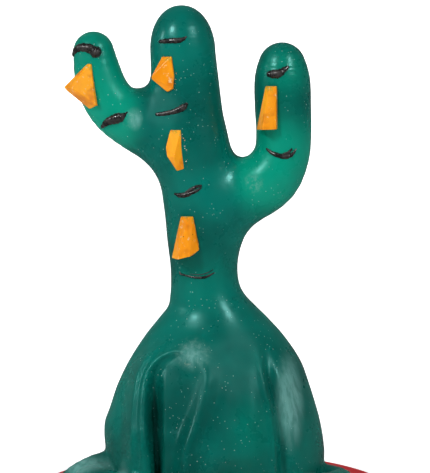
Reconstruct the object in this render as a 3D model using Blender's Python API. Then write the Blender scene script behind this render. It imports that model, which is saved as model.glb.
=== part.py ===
"""Rainstick cast as a cactus figure in a robe, sitting on a round base.

Metres, +Z up. The origin is at the bottom centre of the base and the figure's front faces -Y.
A pinned rain tube stands inside the hollow casting and leans with its trunk.
"""
import math

import bmesh
import bpy
from mathutils import Matrix, Vector
from mathutils.bvhtree import BVHTree

GAP = 0.0003                       # clearance left between pieces that touch

FELT_RADIUS = 0.1080
FELT_THICKNESS = 0.0015
BASE_RADIUS = 0.1130
BASE_THICKNESS = 0.0120
BASE_EDGE = 0.0025                 # rounding of the base's rim
BASE_BOTTOM = FELT_THICKNESS + GAP
BASE_TOP = BASE_BOTTOM + BASE_THICKNESS
CASTING_BOTTOM = BASE_TOP + GAP

TRUNK_WALL = 0.0026
ROBE_WALL = 0.0125                 # thicker, so that the folds never break through
WALL_CHANGE = (0.118, 0.145)       # heights between which the wall thins
RING_SIDES = 36
BORE_SIDES = 24
LIMB_SIDES = 14
LEG_SIDES = 10
HOLLOW_SIDES = 10

# height, centre x, half width, half depth of the robe and trunk
FIGURE_STATIONS = [
    (0.0110, 0.0030, 0.0665, 0.0570),
    (0.0364, 0.0036, 0.0690, 0.0590),
    (0.0510, 0.0022, 0.0677, 0.0582),
    (0.0660, 0.0007, 0.0629, 0.0546),
    (0.0808, 0.0003, 0.0578, 0.0505),
    (0.0955, 0.0009, 0.0517, 0.0460),
    (0.1102, 0.0009, 0.0419, 0.0385),
    (0.1212, 0.0003, 0.0329, 0.0310),
    (0.1285, -0.0006, 0.0265, 0.0260),
    (0.1358, -0.0033, 0.0224, 0.0224),
    (0.1431, -0.0048, 0.0205, 0.0205),
    (0.1535, -0.0054, 0.0202, 0.0202),
    (0.1686, -0.0054, 0.0220, 0.0216),
    (0.1837, -0.0066, 0.0222, 0.0220),
    (0.2168, -0.0115, 0.0215, 0.0215),
    (0.2496, -0.0152, 0.0205, 0.0205),
    (0.2645, -0.0166, 0.0201, 0.0201),
    (0.2815, -0.0179, 0.0194, 0.0194),
]
TRUNK_TIP = 0.0289                 # dome above the last station
TRUNK_TIP_LEAN = -0.07             # sideways shift of the dome for each metre that it rises

# x, y, z and radius along each limb, then the height of its round end
LEFT_ARM = [
    (-0.0140, 0, 0.2225, 0.0175), (-0.0286, 0, 0.2315, 0.0188), (-0.0435, 0, 0.2391, 0.0188),
    (-0.0566, 0, 0.2463, 0.0168), (-0.0643, 0, 0.2565, 0.0149), (-0.0683, 0, 0.2675, 0.0141),
    (-0.0709, 0, 0.2812, 0.0121)]
LEFT_ARM_TIP = 0.0121
RIGHT_ARM = [
    (0.0042, 0, 0.1890, 0.0175), (0.0205, 0, 0.1965, 0.0182), (0.0335, 0, 0.2065, 0.0184),
    (0.0402, 0, 0.2193, 0.0173), (0.0422, 0, 0.2330, 0.0165), (0.0417, 0, 0.2478, 0.0168),
    (0.0413, 0, 0.2615, 0.0168), (0.0410, 0, 0.2728, 0.0141)]
RIGHT_ARM_TIP = 0.0141
LEFT_HAND = [
    (-0.0500, -0.004, 0.0280, 0.0130), (-0.0640, -0.008, 0.0275, 0.0133),
    (-0.0780, -0.012, 0.0255, 0.0112), (-0.0900, -0.014, 0.0222, 0.0084)]
LEFT_LEG = [
    (-0.0560, -0.018, 0.0250, 0.0115), (-0.0730, -0.028, 0.0250, 0.0115),
    (-0.0570, -0.042, 0.0245, 0.0120), (-0.0270, -0.054, 0.0240, 0.0120),
    (0.0080, -0.060, 0.0230, 0.0100)]
RIGHT_LEG = [
    (0.0500, -0.004, 0.0220, 0.0120), (0.0660, -0.008, 0.0215, 0.0118),
    (0.0760, -0.014, 0.0215, 0.0103), (0.0690, -0.030, 0.0220, 0.0110),
    (0.0480, -0.044, 0.0225, 0.0115), (0.0220, -0.057, 0.0220, 0.0095)]
LEG_TIP = 0.0070
LIMB_POINTS = 2                    # rings between two stations of a limb

# folds of the robe: angle at the top and at the bottom, half width (degrees), depth at the bottom
FOLD_TOP = 0.1120
FOLD_SPAN = 0.0400                 # height over which a fold reaches its full depth
ROBE_FOLDS = [
    (-30, -33, 5.0, -0.0055), (-46, -46, 7.0, 0.0015), (-18, -24, 8.0, -0.0022),
    (-4, -15, 4.5, 0.0018), (38, 37, 4.0, -0.0026), (52, 52, 10.0, 0.0012)]

# corners of each nose's visible wedge; its root narrows towards the limb's axis behind it
NOSES = {
    "nose_left_arm": [
        (-0.0741, -0.0136, 0.2746), (-0.0717, -0.0142, 0.2746), (-0.0879, -0.0175, 0.2609),
        (-0.0870, -0.0165, 0.2586), (-0.0726, -0.0090, 0.2473), (-0.0673, -0.0150, 0.2502)],
    "nose_trunk_top": [
        (-0.0299, -0.0164, 0.2790), (-0.0245, -0.0196, 0.2791), (-0.0361, -0.0200, 0.2675),
        (-0.0360, -0.0196, 0.2659), (-0.0271, -0.0190, 0.2585), (-0.0235, -0.0201, 0.2603),
        (-0.0230, -0.0203, 0.2675)],
    "nose_trunk_middle": [
        (-0.0249, -0.0190, 0.2361), (-0.0190, -0.0216, 0.2363), (-0.0277, -0.0220, 0.2263),
        (-0.0271, -0.0225, 0.2211), (-0.0213, -0.0210, 0.2121), (-0.0168, -0.0220, 0.2133),
        (-0.0179, -0.0222, 0.2246), (-0.0228, -0.0270, 0.2209)],
    "nose_trunk_lower": [
        (-0.0191, -0.0198, 0.1850), (-0.0119, -0.0230, 0.1854), (-0.0156, -0.0242, 0.1846),
        (-0.0245, -0.0160, 0.1599), (-0.0183, -0.0310, 0.1614), (-0.0084, -0.0235, 0.1655)],
    "nose_right_arm": [
        (0.0308, -0.0148, 0.2616), (0.0372, -0.0178, 0.2617), (0.0257, -0.0120, 0.2358),
        (0.0301, -0.0250, 0.2366), (0.0369, -0.0200, 0.2364), (0.0381, -0.0185, 0.2461)]}
NOSE_AXES = {"nose_left_arm": -0.0670, "nose_trunk_top": -0.0169, "nose_trunk_middle": -0.0125,
             "nose_trunk_lower": -0.0060, "nose_right_arm": 0.0417}
NOSE_ROOT = 0.5                    # share of the way to the axis at which the root ends

# face lines: x, z and half thickness along the stroke
FACE_LINES = {
    "eyelid_left_arm": [
        (-0.0834, 0.2815, 0.0017), (-0.0802, 0.2846, 0.0021), (-0.0759, 0.2849, 0.0024),
        (-0.0724, 0.2839, 0.0027), (-0.0700, 0.2826, 0.0031)],
    "lips_left_arm": [
        (-0.0660, 0.2384, 0.0009), (-0.0639, 0.2411, 0.0019), (-0.0604, 0.2432, 0.0025),
        (-0.0562, 0.2443, 0.0028), (-0.0536, 0.2452, 0.0022), (-0.0516, 0.2470, 0.0008)],
    "eyelid_trunk_top": [
        (-0.0315, 0.2878, 0.0010), (-0.0279, 0.2885, 0.0013), (-0.0238, 0.2889, 0.0014),
        (-0.0196, 0.2886, 0.0014), (-0.0162, 0.2906, 0.0006)],
    "eyelid_trunk_middle": [
        (-0.0332, 0.2453, 0.0010), (-0.0290, 0.2460, 0.0011), (-0.0243, 0.2470, 0.0013),
        (-0.0201, 0.2486, 0.0017), (-0.0171, 0.2504, 0.0017), (-0.0157, 0.2519, 0.0009)],
    "eyelid_trunk_lower": [
        (-0.0221, 0.1976, 0.0009), (-0.0195, 0.1971, 0.0015), (-0.0159, 0.1977, 0.0018),
        (-0.0124, 0.1995, 0.0018), (-0.0088, 0.2016, 0.0017), (-0.0068, 0.2028, 0.0009)],
    "lips_trunk": [
        (-0.0197, 0.1493, 0.0007), (-0.0159, 0.1484, 0.0007), (-0.0112, 0.1477, 0.0008),
        (-0.0059, 0.1477, 0.0008), (-0.0024, 0.1488, 0.0008), (0.0006, 0.1504, 0.0006)],
    "eyelid_right_arm": [
        (0.0335, 0.2694, 0.0021), (0.0364, 0.2697, 0.0025), (0.0393, 0.2700, 0.0024),
        (0.0417, 0.2717, 0.0016), (0.0437, 0.2732, 0.0009)],
    "lips_right_arm": [
        (0.0317, 0.2236, 0.0008), (0.0340, 0.2218, 0.0011), (0.0375, 0.2200, 0.0014),
        (0.0416, 0.2192, 0.0017), (0.0446, 0.2204, 0.0012), (0.0470, 0.2220, 0.0008)]}
LINE_POINTS = 3
LINE_SIDES = 8
LINE_SINK = 0.35                   # share of the half thickness that lies under the surface

PLUG_HALF_WIDTH = 0.0540
PLUG_HALF_DEPTH = 0.0440
PLUG_HEIGHT = 0.0180
CAVITY_STRAIGHT = 0.0030           # straight mouth of the cavity above the plug

TUBE_LEAN = math.radians(5.56)     # towards -X, along the trunk
TUBE_NECK = (-0.0052, 0.1520)      # x and z where the tube's axis passes the neck
TUBE_FOOT = 0.0232                 # height of the tube's lower end on its axis
TUBE_RADIUS = 0.0125
TUBE_BORE = 0.0110
TUBE_LENGTH = 0.2480
TUBE_SIDES = 32
CAP_RADIUS = 0.0140
CAP_FLANGE = 0.0025
CAP_SPIGOT = 0.0060
COLLAR_HEIGHT = 0.0120
COLLAR_RADIUS = 0.0168
COLLAR_AT = 0.1240                 # along the tube

PIN_COUNT = 22
PIN_TURN = math.radians(45)        # turn of the helix from one pin to the next
PIN_START = 0.0560                 # along the tube
PIN_PITCH = 0.0081
PIN_RADIUS = 0.0006
PIN_HEAD_RADIUS = 0.0013
PIN_HEAD = 0.0006
PIN_SIDES = 6

GRAIN_COLUMNS = 8
GRAINS_PER_COLUMN = 8
GRAIN_RADIUS = 0.0021
GRAIN_NECK = 0.0010
GRAIN_PITCH = 0.0044
GRAIN_LANE = 0.0083                # distance of a lane from the tube's axis
GRAIN_SIDES = 6

SCREW_CIRCLE = 0.0350
SCREW_RADIUS = 0.0015
SCREW_HEAD_RADIUS = 0.0030
SCREW_HEAD = 0.0022
SCREW_TOP = 0.0260
SCREW_SIDES = 12
SCREW_COUNT = 4

LOOKS = {                          # base colour, roughness, metallic
    "green_casting": ((0.000, 0.110, 0.085), 0.22, 0.0),
    "orange_nose": ((0.900, 0.300, 0.010), 0.45, 0.0),
    "black_line": ((0.010, 0.012, 0.014), 0.20, 0.0),
    "red_base": ((0.620, 0.012, 0.018), 0.30, 0.0),
    "plug_wood": ((0.560, 0.400, 0.230), 0.70, 0.0),
    "steel": ((0.600, 0.600, 0.600), 0.35, 1.0),
    "felt": ((0.030, 0.045, 0.035), 0.95, 0.0),
    "tube_card": ((0.420, 0.290, 0.170), 0.80, 0.0),
    "cap_plastic": ((0.050, 0.050, 0.055), 0.45, 0.0),
    "foam": ((0.180, 0.180, 0.190), 0.95, 0.0),
    "brass_pin": ((0.720, 0.520, 0.200), 0.30, 1.0),
    "grain": ((0.620, 0.360, 0.150), 0.50, 0.0)}


def clear_scene():
    for item in list(bpy.data.objects):
        bpy.data.objects.remove(item, do_unlink=True)


def look(name):
    """One Principled material for each finish."""
    colour, roughness, metallic = LOOKS[name]
    material = bpy.data.materials.new(name)
    material.use_nodes = True
    shader = material.node_tree.nodes["Principled BSDF"]
    shader.inputs["Base Color"].default_value = (*colour, 1.0)
    shader.inputs["Roughness"].default_value = roughness
    shader.inputs["Metallic"].default_value = metallic
    return material


def add_object(name, mesh, finish, parent=None, local=Matrix()):
    item = bpy.data.objects.new(name, mesh)
    item.data.materials.clear()
    item.data.materials.append(look(finish))
    item.parent = parent
    item.matrix_local = local
    bpy.context.scene.collection.objects.link(item)
    return item


def loft(rings, closed=False):
    """A closed triangle mesh through rings of equal size; a closed loft joins its last ring to its first."""
    grid = bmesh.new()
    rows = [[grid.verts.new(point) for point in ring] for ring in rings]
    pairs = list(zip(rows, rows[1:]))
    if closed:
        pairs.append((rows[-1], rows[0]))
    for low, high in pairs:
        for k in range(len(low)):
            after = (k + 1) % len(low)
            grid.faces.new((low[k], low[after], high[after], high[k]))
    if not closed:
        grid.faces.new(rows[0])
        grid.faces.new(rows[-1])
    bmesh.ops.triangulate(grid, faces=grid.faces)
    bmesh.ops.recalc_face_normals(grid, faces=grid.faces)
    mesh = bpy.data.meshes.new("loft")
    grid.to_mesh(mesh)
    grid.free()
    mesh.shade_smooth()
    mesh.set_sharp_from_angle(angle=math.radians(35))
    return mesh


def ellipse(centre, half_x, half_y, height, sides):
    return [Vector((centre[0] + half_x * math.cos(math.tau * k / sides),
                    centre[1] + half_y * math.sin(math.tau * k / sides), height)) for k in range(sides)]


def turned(profile, sides, centre=(0, 0), closed=False):
    """A solid of revolution about a vertical axis from (radius, height) points."""
    return loft([ellipse(centre, radius, radius, height, sides) for radius, height in profile], closed)


def moved(mesh, matrix):
    mesh.transform(matrix)
    return mesh


def joined(meshes):
    """Several separate solids in one mesh, used as one cutter."""
    grid = bmesh.new()
    for mesh in meshes:
        grid.from_mesh(mesh)
    mesh = bpy.data.meshes.new("joined")
    grid.to_mesh(mesh)
    grid.free()
    return mesh


def combine(mesh, other, operation):
    """The exact Boolean of two meshes, as a new mesh."""
    body = bpy.data.objects.new("body", mesh)
    tool = bpy.data.objects.new("tool", other)
    for item in (body, tool):
        bpy.context.scene.collection.objects.link(item)
    tool.hide_render = True
    tool.display_type = "WIRE"
    cut = body.modifiers.new("cut", "BOOLEAN")
    cut.operation = operation
    cut.solver = "EXACT"
    cut.use_self = operation == "UNION"
    cut.object = tool
    graph = bpy.context.evaluated_depsgraph_get()
    result = bpy.data.meshes.new_from_object(body.evaluated_get(graph))
    for item in (body, tool):
        bpy.data.objects.remove(item, do_unlink=True)
    return result


def between(stations, steps):
    """Catmull-Rom points through the stations, with the given number of steps in each span."""
    ends = [stations[0], *stations, stations[-1]]
    points = []
    for i in range(1, len(ends) - 2):
        before, start, stop, after = (ends[i + k] for k in (-1, 0, 1, 2))
        for k in range(steps):
            t = k / steps
            points.append(tuple(
                0.5 * (2 * b + (c - a) * t + (2 * a - 5 * b + 4 * c - d) * t * t
                       + (3 * b - 3 * c + d - a) * t ** 3)
                for a, b, c, d in zip(before, start, stop, after)))
    points.append(tuple(stations[-1]))
    return points


def smooth(value, low, high):
    t = min(max((value - low) / (high - low), 0.0), 1.0)
    return t * t * (3 - 2 * t)


def fold_depth(angle, height):
    """How far the folded cloth stands out at an angle from the front, in degrees."""
    fullness = smooth(FOLD_TOP - height, 0.0, FOLD_SPAN)
    depth = 0.0
    for at_top, at_bottom, half_width, full_depth in ROBE_FOLDS:
        centre = at_bottom + (at_top - at_bottom) * min(max(height / FOLD_TOP, 0.0), 1.0)
        depth += full_depth * math.exp(-((angle - centre) / half_width) ** 2)
    return depth * fullness


def figure_rings(inset, sides, folded):
    """Horizontal rings of the robe and trunk, drawn in by inset(height)."""
    rings = []
    for height, centre, half_x, half_y in between(FIGURE_STATIONS, 2 if folded else 1):
        ring = []
        for k in range(sides):
            turn = math.tau * k / sides
            angle = math.degrees(math.atan2(math.cos(turn), -math.sin(turn)))
            extra = (fold_depth(angle, height) if folded else 0.0) - inset(height)
            ring.append(Vector((centre + (half_x + extra) * math.cos(turn),
                                (half_y + extra) * math.sin(turn), height)))
        rings.append(ring)
    return rings


def domed(rings, tip, direction):
    """Adds a rounded end of the given height to the last ring."""
    last = rings[-1]
    centre = sum(last, Vector()) / len(last)
    for angle in (20, 40, 58, 74, 88):
        lift = direction * tip * math.sin(math.radians(angle))
        share = math.cos(math.radians(angle))
        rings.append([centre + lift + (point - centre) * share for point in last])
    return rings


def limb(stations, tip, inset=0.0, sides=LIMB_SIDES):
    """A round limb through (x, y, z, radius) stations with a domed end."""
    points = between(stations, LIMB_POINTS)
    rings = []
    side = Vector((0.3, 0.2, 1))
    for i, (x, y, z, radius) in enumerate(points):
        before = Vector(points[max(i - 1, 0)][:3])
        after = Vector(points[min(i + 1, len(points) - 1)][:3])
        along = (after - before).normalized()
        side = (side - along * side.dot(along)).normalized()
        other = along.cross(side)
        rings.append([Vector((x, y, z)) + (radius - inset) * (
            side * math.cos(math.tau * k / sides) + other * math.sin(math.tau * k / sides))
            for k in range(sides)])
    return loft(domed(rings, tip - inset, along))


def wall(height):
    return ROBE_WALL + (TRUNK_WALL - ROBE_WALL) * smooth(height, *WALL_CHANGE)


def outer_figure(swell=0.0):
    """The casting's outside as one solid; swell leaves room for what is fitted to it."""
    trunk = loft(domed(figure_rings(lambda height: -swell, RING_SIDES, True), TRUNK_TIP + swell,
                       Vector((TRUNK_TIP_LEAN, 0, 1))))
    for stations, tip in ((LEFT_ARM, LEFT_ARM_TIP), (RIGHT_ARM, RIGHT_ARM_TIP)):
        trunk = combine(trunk, limb(stations, tip, -swell), "UNION")
    return trunk


def cavity():
    """The hollow inside, open at the bottom, with a straight mouth for the plug."""
    mouth_top = CASTING_BOTTOM + PLUG_HEIGHT + CAVITY_STRAIGHT
    mouth = [ellipse((0, 0), PLUG_HALF_WIDTH + GAP, PLUG_HALF_DEPTH + GAP, height, BORE_SIDES)
             for height in (CASTING_BOTTOM - 0.002, mouth_top)]
    above = [ring for ring in figure_rings(wall, BORE_SIDES, False) if ring[0].z > mouth_top + 0.006]
    hollow = loft(domed(mouth + above, TRUNK_TIP - TRUNK_WALL, Vector((TRUNK_TIP_LEAN, 0, 1))))
    for stations, tip in ((LEFT_ARM, LEFT_ARM_TIP), (RIGHT_ARM, RIGHT_ARM_TIP)):
        hollow = combine(hollow, limb(stations, tip, TRUNK_WALL, HOLLOW_SIDES), "UNION")
    return hollow


def cactus_body():
    casting = outer_figure()
    for stations in (LEFT_HAND, LEFT_LEG, RIGHT_LEG):
        casting = combine(casting, limb(stations, LEG_TIP, 0.0, LEG_SIDES), "UNION")
    below = turned([(BASE_RADIUS, -0.01), (BASE_RADIUS, CASTING_BOTTOM)], BORE_SIDES)
    casting = combine(casting, below, "DIFFERENCE")
    casting = combine(casting, cavity(), "DIFFERENCE")
    add_object("cactus_body", casting, "green_casting")


def front_point(surface, x, z):
    """The point of the casting that lies straight behind (x, z), or the nearest one to it."""
    hit, normal, _, _ = surface.ray_cast(Vector((x, -0.2, z)), Vector((0, 1, 0)))
    if hit is None:
        hit, normal, _, _ = surface.find_nearest(Vector((x, 0, z)))
    return hit, normal


def nose(name, clearance):
    """A hand-cut wedge: the convex solid round its corners and the root behind them."""
    corners = [Vector(corner) for corner in NOSES[name]]
    roots = [corner.lerp(Vector((NOSE_AXES[name], 0, corner.z)), NOSE_ROOT) for corner in corners]
    grid = bmesh.new()
    for point in corners + roots:
        grid.verts.new(point)
    hull = bmesh.ops.convex_hull(grid, input=grid.verts)
    loose = [item for item in hull["geom_interior"] if isinstance(item, bmesh.types.BMVert)]
    bmesh.ops.delete(grid, geom=loose, context="VERTS")
    bmesh.ops.triangulate(grid, faces=grid.faces)
    bmesh.ops.recalc_face_normals(grid, faces=grid.faces)
    wedge = bpy.data.meshes.new(name)
    grid.to_mesh(wedge)
    grid.free()
    add_object(name, combine(wedge, clearance, "DIFFERENCE"), "orange_nose")


def face_line(name, clearance, surface):
    """A raised bead along the casting, with its own half thickness at each point."""
    stroke = between(FACE_LINES[name], LINE_POINTS)
    places = [front_point(surface, x, z) for x, z, _ in stroke]
    rings = []
    for i, (place, normal) in enumerate(places):
        before, after = places[max(i - 1, 0)][0], places[min(i + 1, len(places) - 1)][0]
        along = (after - before).normalized()
        side = normal.cross(along).normalized()
        radius = stroke[i][2]
        centre = place - normal * radius * LINE_SINK
        rings.append([centre + radius * (1.15 * normal * math.cos(math.tau * k / LINE_SIDES)
                                         + side * math.sin(math.tau * k / LINE_SIDES))
                      for k in range(LINE_SIDES)])
    add_object(name, combine(loft(rings), clearance, "DIFFERENCE"), "black_line")


def screw_places():
    for k in range(SCREW_COUNT):
        angle = math.tau * (k + 0.5) / SCREW_COUNT
        yield SCREW_CIRCLE * math.cos(angle), SCREW_CIRCLE * math.sin(angle)


def screw_shape(centre, extra):
    """A countersunk screw, or with extra the hole that it sits in."""
    head = BASE_BOTTOM + GAP
    return turned([(SCREW_HEAD_RADIUS + extra, head - 10 * extra),
                   (SCREW_HEAD_RADIUS + extra, head + 0.0006),
                   (SCREW_RADIUS + extra, head + SCREW_HEAD),
                   (SCREW_RADIUS + extra, SCREW_TOP + extra)], SCREW_SIDES, centre)


def base_disc():
    rim = [(BASE_RADIUS - BASE_EDGE + BASE_EDGE * math.sin(math.radians(a)),
            BASE_TOP - BASE_EDGE + BASE_EDGE * math.cos(math.radians(a))) for a in (90, 45, 0)]
    profile = [(BASE_RADIUS - 0.0008, BASE_BOTTOM), (BASE_RADIUS, BASE_BOTTOM + 0.0008), *rim]
    disc = turned(profile, 48)
    holes = joined([screw_shape(place, GAP) for place in screw_places()])
    add_object("base_disc", combine(disc, holes, "DIFFERENCE"), "red_base")


def felt_pad():
    add_object("felt_pad", turned([(FELT_RADIUS, 0), (FELT_RADIUS, FELT_THICKNESS)], 48), "felt")


def base_plug(frame):
    """The wooden plug that closes the casting and carries the tube's lower cap."""
    plug = loft([ellipse((0, 0), PLUG_HALF_WIDTH, PLUG_HALF_DEPTH, height, BORE_SIDES)
                 for height in (CASTING_BOTTOM, CASTING_BOTTOM + PLUG_HEIGHT)])
    socket = turned([(CAP_RADIUS + GAP, -CAP_FLANGE - GAP), (CAP_RADIUS + GAP, PLUG_HEIGHT * 2)], TUBE_SIDES)
    plug = combine(plug, moved(socket, frame), "DIFFERENCE")
    holes = joined([screw_shape(place, GAP) for place in screw_places()])
    add_object("base_plug", combine(plug, holes, "DIFFERENCE"), "plug_wood")


def base_screws():
    for number, place in enumerate(screw_places(), 1):
        add_object(f"base_screw_{number}", screw_shape(place, 0.0), "steel")


def tube_frame():
    """The empty on the tube's axis: its +Z runs up the tube from the tube's lower end."""
    slope = math.tan(TUBE_LEAN)
    foot_x = TUBE_NECK[0] + (TUBE_NECK[1] - TUBE_FOOT) * slope
    frame = bpy.data.objects.new("tube_frame", None)
    frame.matrix_world = Matrix.Translation((foot_x, 0, TUBE_FOOT)) @ Matrix.Rotation(-TUBE_LEAN, 4, "Y")
    bpy.context.scene.collection.objects.link(frame)
    return frame


def pin_local(number):
    """Place of a pin's head side: outwards along its own -Z, inside the tube's frame."""
    turn = number * PIN_TURN
    return Matrix.Translation((0, 0, PIN_START + number * PIN_PITCH)) @ Matrix.Rotation(turn, 4, "Z") \
        @ Matrix.Rotation(math.radians(90), 4, "Y")


def pin_numbers():
    """Pins are left out where the collar holds the tube."""
    for number in range(PIN_COUNT):
        if abs(PIN_START + number * PIN_PITCH - COLLAR_AT - COLLAR_HEIGHT / 2) > COLLAR_HEIGHT / 2 + 0.002:
            yield number


def rain_tube(frame):
    wall_profile = [(TUBE_RADIUS, 0), (TUBE_RADIUS, TUBE_LENGTH), (TUBE_BORE, TUBE_LENGTH), (TUBE_BORE, 0)]
    tube = turned(wall_profile, TUBE_SIDES, closed=True)
    hole = [(PIN_RADIUS + GAP, TUBE_BORE - 0.002), (PIN_RADIUS + GAP, TUBE_RADIUS + 0.002)]
    holes = joined([moved(turned(hole, PIN_SIDES), pin_local(number)) for number in pin_numbers()])
    add_object("rain_tube", combine(tube, holes, "DIFFERENCE"), "tube_card", frame)


def tube_caps(frame):
    spigot = TUBE_BORE - GAP * 2
    lower = [(CAP_RADIUS, -CAP_FLANGE), (CAP_RADIUS, -GAP), (spigot, -GAP), (spigot, CAP_SPIGOT)]
    upper = [(spigot, TUBE_LENGTH - CAP_SPIGOT), (spigot, TUBE_LENGTH + GAP),
             (CAP_RADIUS, TUBE_LENGTH + GAP), (CAP_RADIUS, TUBE_LENGTH + CAP_FLANGE)]
    add_object("tube_lower_cap", turned(lower, TUBE_SIDES), "cap_plastic", frame)
    add_object("tube_upper_cap", turned(upper, TUBE_SIDES), "cap_plastic", frame)


def tube_collar(frame):
    ring = [(COLLAR_RADIUS, COLLAR_AT), (COLLAR_RADIUS, COLLAR_AT + COLLAR_HEIGHT),
            (TUBE_RADIUS + GAP, COLLAR_AT + COLLAR_HEIGHT), (TUBE_RADIUS + GAP, COLLAR_AT)]
    add_object("tube_collar", turned(ring, BORE_SIDES, closed=True), "foam", frame)


def rain_pins(frame):
    """Headed pins pushed through the tube's wall, stopping just short of the far side."""
    head = TUBE_RADIUS + GAP
    profile = [(PIN_RADIUS, GAP * 3 - TUBE_BORE), (PIN_RADIUS, head),
               (PIN_HEAD_RADIUS, head), (PIN_HEAD_RADIUS, head + PIN_HEAD)]
    for count, number in enumerate(pin_numbers(), 1):
        add_object(f"rain_pin_{count:02d}", turned(profile, PIN_SIDES), "brass_pin", frame, pin_local(number))


def grain_columns(frame):
    """Columns of loose grains, one in each lane between the pins, each a string of touching beads."""
    profile = []
    for number in range(GRAINS_PER_COLUMN):
        foot = number * GRAIN_PITCH
        profile += [(GRAIN_NECK, foot), (GRAIN_RADIUS, foot + GRAIN_PITCH / 2)]
    profile.append((GRAIN_NECK, GRAINS_PER_COLUMN * GRAIN_PITCH))
    for number in range(GRAIN_COLUMNS):
        angle = PIN_TURN * (number + 0.5)
        lane = Matrix.Translation((GRAIN_LANE * math.cos(angle), GRAIN_LANE * math.sin(angle),
                                   CAP_SPIGOT + GAP))
        add_object(f"grain_column_{number + 1}", turned(profile, GRAIN_SIDES), "grain", frame, lane)


def main():
    clear_scene()
    cactus_body()
    clearance = outer_figure(GAP)
    surface = BVHTree.FromPolygons([v.co.copy() for v in clearance.vertices],
                                   [tuple(p.vertices) for p in clearance.polygons])
    for name in NOSES:
        nose(name, clearance)
    for name in FACE_LINES:
        face_line(name, clearance, surface)
    base_disc()
    felt_pad()
    base_screws()
    frame = tube_frame()
    bpy.context.view_layer.update()
    base_plug(frame.matrix_world)
    rain_tube(frame)
    tube_caps(frame)
    tube_collar(frame)
    rain_pins(frame)
    grain_columns(frame)


main()
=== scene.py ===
import math

import bmesh
import bpy
import numpy as np
from mathutils import Matrix, Vector


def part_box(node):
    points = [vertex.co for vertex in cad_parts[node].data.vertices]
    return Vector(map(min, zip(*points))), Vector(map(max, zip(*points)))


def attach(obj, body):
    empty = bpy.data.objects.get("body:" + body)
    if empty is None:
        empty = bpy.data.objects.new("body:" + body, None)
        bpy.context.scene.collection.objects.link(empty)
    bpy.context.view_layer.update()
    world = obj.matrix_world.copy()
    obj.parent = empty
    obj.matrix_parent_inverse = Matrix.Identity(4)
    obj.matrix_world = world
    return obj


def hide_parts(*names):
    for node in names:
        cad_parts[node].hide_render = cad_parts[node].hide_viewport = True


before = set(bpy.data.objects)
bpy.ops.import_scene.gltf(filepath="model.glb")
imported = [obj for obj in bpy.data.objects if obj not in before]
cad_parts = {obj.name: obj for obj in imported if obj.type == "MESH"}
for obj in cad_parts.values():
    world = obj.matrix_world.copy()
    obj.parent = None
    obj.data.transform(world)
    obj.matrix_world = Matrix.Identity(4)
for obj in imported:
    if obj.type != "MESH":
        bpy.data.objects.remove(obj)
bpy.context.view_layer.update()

# A glossy green cactus figure on a red base, with a pinned rain tube inside.
# Shapes are worked out in millimetres and scaled to metres as each mesh is made.
mm = 0.001
scene = bpy.context.scene
scene.view_settings.view_transform = "Standard"


class Value:
    # wraps a socket, so that node maths reads as plain expressions
    def __init__(self, graph, socket):
        self.graph = graph
        self.socket = socket

    def maths(self, operation, first, second=0.0):
        return self.graph.add("ShaderNodeMath", {"operation": operation}, {0: first, 1: second})

    def __add__(self, other):
        return self.maths("ADD", self, other)

    def __sub__(self, other):
        return self.maths("SUBTRACT", self, other)

    def __rsub__(self, other):
        return self.maths("SUBTRACT", other, self)

    def __mul__(self, other):
        return self.maths("MULTIPLY", self, other)

    __radd__ = __add__
    __rmul__ = __mul__


class Graph:
    # a node tree in which every node comes from add()
    def __init__(self, tree):
        self.nodes = tree.nodes
        self.links = tree.links

    def add(self, kind, settings, sockets, out=0):
        node = self.nodes.new(kind)
        for key, value in settings.items():
            if key == "stops":
                ramp = node.color_ramp.elements
                while len(ramp) < len(value):
                    ramp.new(0.5)
                for stop, (position, colour) in zip(ramp, value):
                    stop.position = position
                    stop.color = colour
            else:
                setattr(node, key, value)
        for key, value in sockets.items():
            socket = self.find(node.inputs, key)
            if isinstance(value, Value):
                self.links.new(value.socket, socket)
            elif isinstance(value, list):
                for one in value:
                    self.links.new(one.socket, socket)
            else:
                socket.default_value = value
        if isinstance(out, tuple):
            return [Value(self, self.find(node.outputs, key)) for key in out]
        return Value(self, self.find(node.outputs, out)) if len(node.outputs) else None

    def find(self, sockets, key):
        if isinstance(key, int):
            return sockets[key]
        return next(s for s in sockets if key in (s.identifier, s.name) and s.enabled)


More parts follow.
